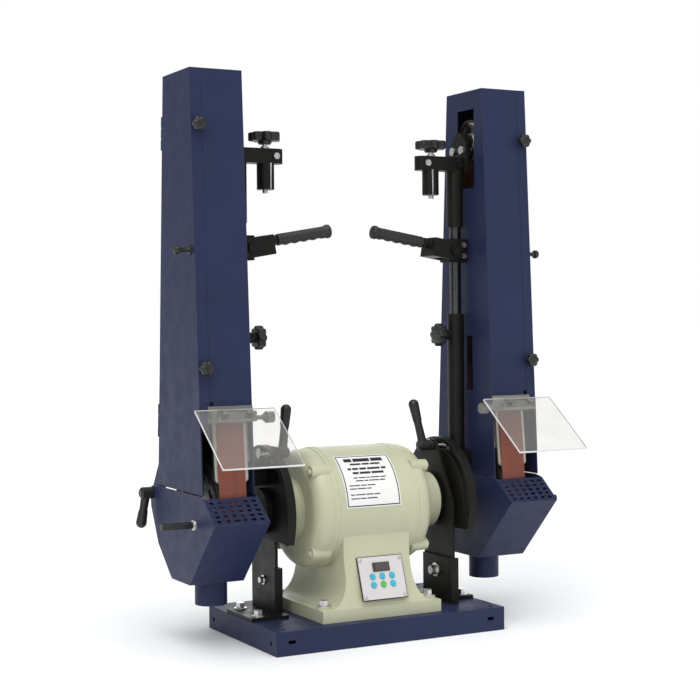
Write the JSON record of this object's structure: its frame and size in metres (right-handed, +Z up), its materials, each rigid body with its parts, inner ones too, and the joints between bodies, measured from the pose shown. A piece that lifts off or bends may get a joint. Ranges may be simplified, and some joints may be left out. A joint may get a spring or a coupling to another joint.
{
  "type": "double belt finishing machine",
  "caption": "Bench belt grinder: a motor on a sheet base turns contact wheels for tall abrasive belts in tilting housings with idlers, platens, dust hoods and clear eye shields.",
  "frame": {"origin": "centre of the base, in the plane of its underside", "axes": "+X along the motor shaft to the right-hand belt, -Y towards the operator, +Z up"},
  "size_m": [0.8246, 0.3802, 1.021],
  "materials": {
    "blue_sheet": "satin powder coat",
    "cream_casting": "satin paint over casting",
    "winding_iron": "varnished",
    "rotor_iron": "machined",
    "panel_aluminium": "satin printed plate",
    "blue_button": "semi gloss",
    "green_button": "semi gloss",
    "black_plastic": "moulded",
    "bright_steel": "zinc plated",
    "black_steel": "black oxide",
    "wheel_aluminium": "turned",
    "wheel_rubber": "matt",
    "grip_rubber": "ribbed",
    "abrasive_cloth": "aluminium oxide grit on cloth",
    "platen_steel": "ground",
    "grey_steel": "dark zinc",
    "clear_acrylic": "clear polished"
  },
  "bodies": {
    "frame": {"base_plate": "blue_sheet", "motor_pedestal": "cream_casting", "motor_body": "cream_casting", "end_bells": "cream_casting", "stator": "winding_iron", "control_panel": "panel_aluminium", "cable_gland": "black_plastic", "root_bolts": "bright_steel", "arm_brackets": "black_steel"},
    "shaft": {"motor_shaft": "bright_steel", "rotor": "rotor_iron", "shaft_bearings": "bright_steel", "contact_hubs": "wheel_aluminium", "contact_tyres": "wheel_rubber"},
    "speed_up_button": {"speed_up_button": "blue_button"},
    "speed_down_button": {"speed_down_button": "blue_button"},
    "set_button": {"set_button": "blue_button"},
    "forward_button": {"forward_button": "blue_button"},
    "run_button": {"run_button": "green_button"},
    "reverse_button": {"reverse_button": "blue_button"},
    "left_arm": {"left_housing": "blue_sheet", "left_sector_plate": "black_steel", "left_column": "black_steel", "left_lever_collar": "black_steel", "left_belt": "abrasive_cloth", "left_platen": "platen_steel", "left_shield_bracket": "grey_steel"},
    "left_door_body": {"left_door": "blue_sheet", "left_door_knobs": "black_plastic"},
    "left_hood_body": {"left_hood": "blue_sheet"},
    "left_hood_lever_body": {"left_hood_lever": "black_plastic"},
    "left_tilt_lever_body": {"left_tilt_lever": "black_plastic"},
    "left_column_knob_body": {"left_column_knob": "black_plastic"},
    "left_tension_lever_body": {"left_tension_lever": "black_steel", "left_lever_grip": "grip_rubber"},
    "left_tracking_head_body": {"left_tracking_head": "black_steel"},
    "left_tracking_knob_body": {"left_tracking_knob": "black_plastic"},
    "left_idler_yoke_body": {"left_idler_yoke": "black_steel"},
    "left_idler_wheel_body": {"left_idler_wheel": "wheel_aluminium"},
    "left_eye_shield_body": {"left_eye_shield": "clear_acrylic"},
    "right_arm": {"right_housing": "blue_sheet", "right_sector_plate": "black_steel", "right_column": "black_steel", "right_lever_collar": "black_steel", "right_belt": "abrasive_cloth", "right_platen": "platen_steel", "right_shield_bracket": "grey_steel"},
    "right_door_body": {"right_door": "blue_sheet", "right_door_knobs": "black_plastic"},
    "right_hood_body": {"right_hood": "blue_sheet"},
    "right_hood_lever_body": {"right_hood_lever": "black_plastic"},
    "right_tilt_lever_body": {"right_tilt_lever": "black_plastic"},
    "right_column_knob_body": {"right_column_knob": "black_plastic"},
    "right_tension_lever_body": {"right_tension_lever": "black_steel", "right_lever_grip": "grip_rubber"},
    "right_tracking_head_body": {"right_tracking_head": "black_steel"},
    "right_tracking_knob_body": {"right_tracking_knob": "black_plastic"},
    "right_idler_yoke_body": {"right_idler_yoke": "black_steel"},
    "right_idler_wheel_body": {"right_idler_wheel": "wheel_aluminium"},
    "right_eye_shield_body": {"right_eye_shield": "clear_acrylic"}
  },
  "joints": [
    {"name": "shaft_spin", "type": "hinge", "parent": "frame", "child": "shaft", "pos_m": [0, 0, 0.235], "axis": [1, 0, 0], "continuous": true},
    {"name": "speed_up_button_press", "type": "slide", "parent": "frame", "child": "speed_up_button", "axis": [0, 0.9455, -0.3256], "range_m": [0, 0.0012], "stiffness_N_per_m": 400, "springref_m": -0.001},
    {"name": "speed_down_button_press", "type": "slide", "parent": "frame", "child": "speed_down_button", "axis": [0, 0.9455, -0.3256], "range_m": [0, 0.0012], "stiffness_N_per_m": 400, "springref_m": -0.001},
    {"name": "set_button_press", "type": "slide", "parent": "frame", "child": "set_button", "axis": [0, 0.9455, -0.3256], "range_m": [0, 0.0012], "stiffness_N_per_m": 400, "springref_m": -0.001},
    {"name": "forward_button_press", "type": "slide", "parent": "frame", "child": "forward_button", "axis": [0, 0.9455, -0.3256], "range_m": [0, 0.0012], "stiffness_N_per_m": 400, "springref_m": -0.001},
    {"name": "run_button_press", "type": "slide", "parent": "frame", "child": "run_button", "axis": [0, 0.9455, -0.3256], "range_m": [0, 0.0012], "stiffness_N_per_m": 400, "springref_m": -0.001},
    {"name": "reverse_button_press", "type": "slide", "parent": "frame", "child": "reverse_button", "axis": [0, 0.9455, -0.3256], "range_m": [0, 0.0012], "stiffness_N_per_m": 400, "springref_m": -0.001},
    {"name": "left_arm_tilt", "type": "hinge", "parent": "frame", "child": "left_arm", "pos_m": [-0.2, 0, 0.235], "axis": [-1, 0, 0], "range_deg": [0, 90]},
    {"name": "left_tilt_clamp_turn", "type": "hinge", "parent": "frame", "child": "left_tilt_lever_body", "pos_m": [-0.15, 0, 0.339], "axis": [1, 0, 0], "range_deg": [-60, 60]},
    {"name": "left_door_swing", "type": "hinge", "parent": "left_arm", "child": "left_door_body", "pos_m": [-0.345, 0.0933, 0.66], "axis": [0, 0.0589, -0.9983], "range_deg": [0, 110]},
    {"name": "left_hood_swing", "type": "hinge", "parent": "left_arm", "child": "left_hood_body", "pos_m": [-0.298, 0.136, 0.265], "axis": [1, 0, 0], "range_deg": [0, 35]},
    {"name": "left_hood_clamp_turn", "type": "hinge", "parent": "left_arm", "child": "left_hood_lever_body", "pos_m": [-0.36, 0.136, 0.265], "axis": [1, 0, 0], "range_deg": [-50, 50]},
    {"name": "left_column_knob_turn", "type": "hinge", "parent": "left_arm", "child": "left_column_knob_body", "pos_m": [-0.195, 0.007, 0.55], "axis": [1, 0, 0], "range_deg": [0, 360]},
    {"name": "left_tension_lever_lift", "type": "hinge", "parent": "left_arm", "child": "left_tension_lever_body", "pos_m": [-0.214, 0.007, 0.712], "axis": [0, -1, 0], "range_deg": [0, 35]},
    {"name": "left_tension_slide", "type": "slide", "parent": "left_arm", "child": "left_tracking_head_body", "axis": [0, 0, -1], "range_m": [0, 0.02]},
    {"name": "left_tracking_knob_turn", "type": "hinge", "parent": "left_tracking_head_body", "child": "left_tracking_knob_body", "pos_m": [-0.175, 0.007, 0.9], "axis": [0, 0, 1], "range_deg": [-720, 720]},
    {"name": "left_yoke_tilt", "type": "hinge", "parent": "left_tracking_head_body", "child": "left_idler_yoke_body", "pos_m": [-0.231, 0.007, 0.88], "axis": [0, -1, 0], "range_deg": [-1, 1]},
    {"name": "left_idler_spin", "type": "hinge", "parent": "left_idler_yoke_body", "child": "left_idler_wheel_body", "pos_m": [-0.292, 0.012, 0.927], "axis": [1, 0, 0], "continuous": true},
    {"name": "left_shield_tilt", "type": "hinge", "parent": "left_arm", "child": "left_eye_shield_body", "pos_m": [-0.292, -0.102, 0.412], "axis": [1, 0, 0], "range_deg": [-35, 20]},
    {"name": "right_arm_tilt", "type": "hinge", "parent": "frame", "child": "right_arm", "pos_m": [0.2, 0, 0.235], "axis": [-1, 0, 0], "range_deg": [0, 90]},
    {"name": "right_tilt_clamp_turn", "type": "hinge", "parent": "frame", "child": "right_tilt_lever_body", "pos_m": [0.15, 0, 0.339], "axis": [1, 0, 0], "range_deg": [-60, 60]},
    {"name": "right_door_swing", "type": "hinge", "parent": "right_arm", "child": "right_door_body", "pos_m": [0.345, 0.0933, 0.66], "axis": [0, -0.0589, 0.9983], "range_deg": [0, 110]},
    {"name": "right_hood_swing", "type": "hinge", "parent": "right_arm", "child": "right_hood_body", "pos_m": [0.298, 0.136, 0.265], "axis": [1, 0, 0], "range_deg": [0, 35]},
    {"name": "right_hood_clamp_turn", "type": "hinge", "parent": "right_arm", "child": "right_hood_lever_body", "pos_m": [0.36, 0.136, 0.265], "axis": [1, 0, 0], "range_deg": [-50, 50]},
    {"name": "right_column_knob_turn", "type": "hinge", "parent": "right_arm", "child": "right_column_knob_body", "pos_m": [0.195, 0.007, 0.55], "axis": [-1, 0, 0], "range_deg": [0, 360]},
    {"name": "right_tension_lever_lift", "type": "hinge", "parent": "right_arm", "child": "right_tension_lever_body", "pos_m": [0.214, 0.007, 0.712], "axis": [0, 1, 0], "range_deg": [0, 35]},
    {"name": "right_tension_slide", "type": "slide", "parent": "right_arm", "child": "right_tracking_head_body", "axis": [0, 0, -1], "range_m": [0, 0.02]},
    {"name": "right_tracking_knob_turn", "type": "hinge", "parent": "right_tracking_head_body", "child": "right_tracking_knob_body", "pos_m": [0.175, 0.007, 0.9], "axis": [0, 0, 1], "range_deg": [-720, 720]},
    {"name": "right_yoke_tilt", "type": "hinge", "parent": "right_tracking_head_body", "child": "right_idler_yoke_body", "pos_m": [0.231, 0.007, 0.88], "axis": [0, 1, 0], "range_deg": [-1, 1]},
    {"name": "right_idler_spin", "type": "hinge", "parent": "right_idler_yoke_body", "child": "right_idler_wheel_body", "pos_m": [0.292, 0.012, 0.927], "axis": [1, 0, 0], "continuous": true},
    {"name": "right_shield_tilt", "type": "hinge", "parent": "right_arm", "child": "right_eye_shield_body", "pos_m": [0.292, -0.102, 0.412], "axis": [1, 0, 0], "range_deg": [-35, 20]}
  ],
  "couplings": [
    {"joint": "left_tension_slide", "follows": "left_tension_lever_lift", "m_per_rad": 0.0327},
    {"joint": "left_yoke_tilt", "follows": "left_tracking_knob_turn", "ratio": 0.001388},
    {"joint": "left_idler_spin", "follows": "shaft_spin", "ratio": 2.6667},
    {"joint": "right_tension_slide", "follows": "right_tension_lever_lift", "m_per_rad": 0.0327},
    {"joint": "right_yoke_tilt", "follows": "right_tracking_knob_turn", "ratio": 0.001388},
    {"joint": "right_idler_spin", "follows": "shaft_spin", "ratio": 2.6667}
  ]
}
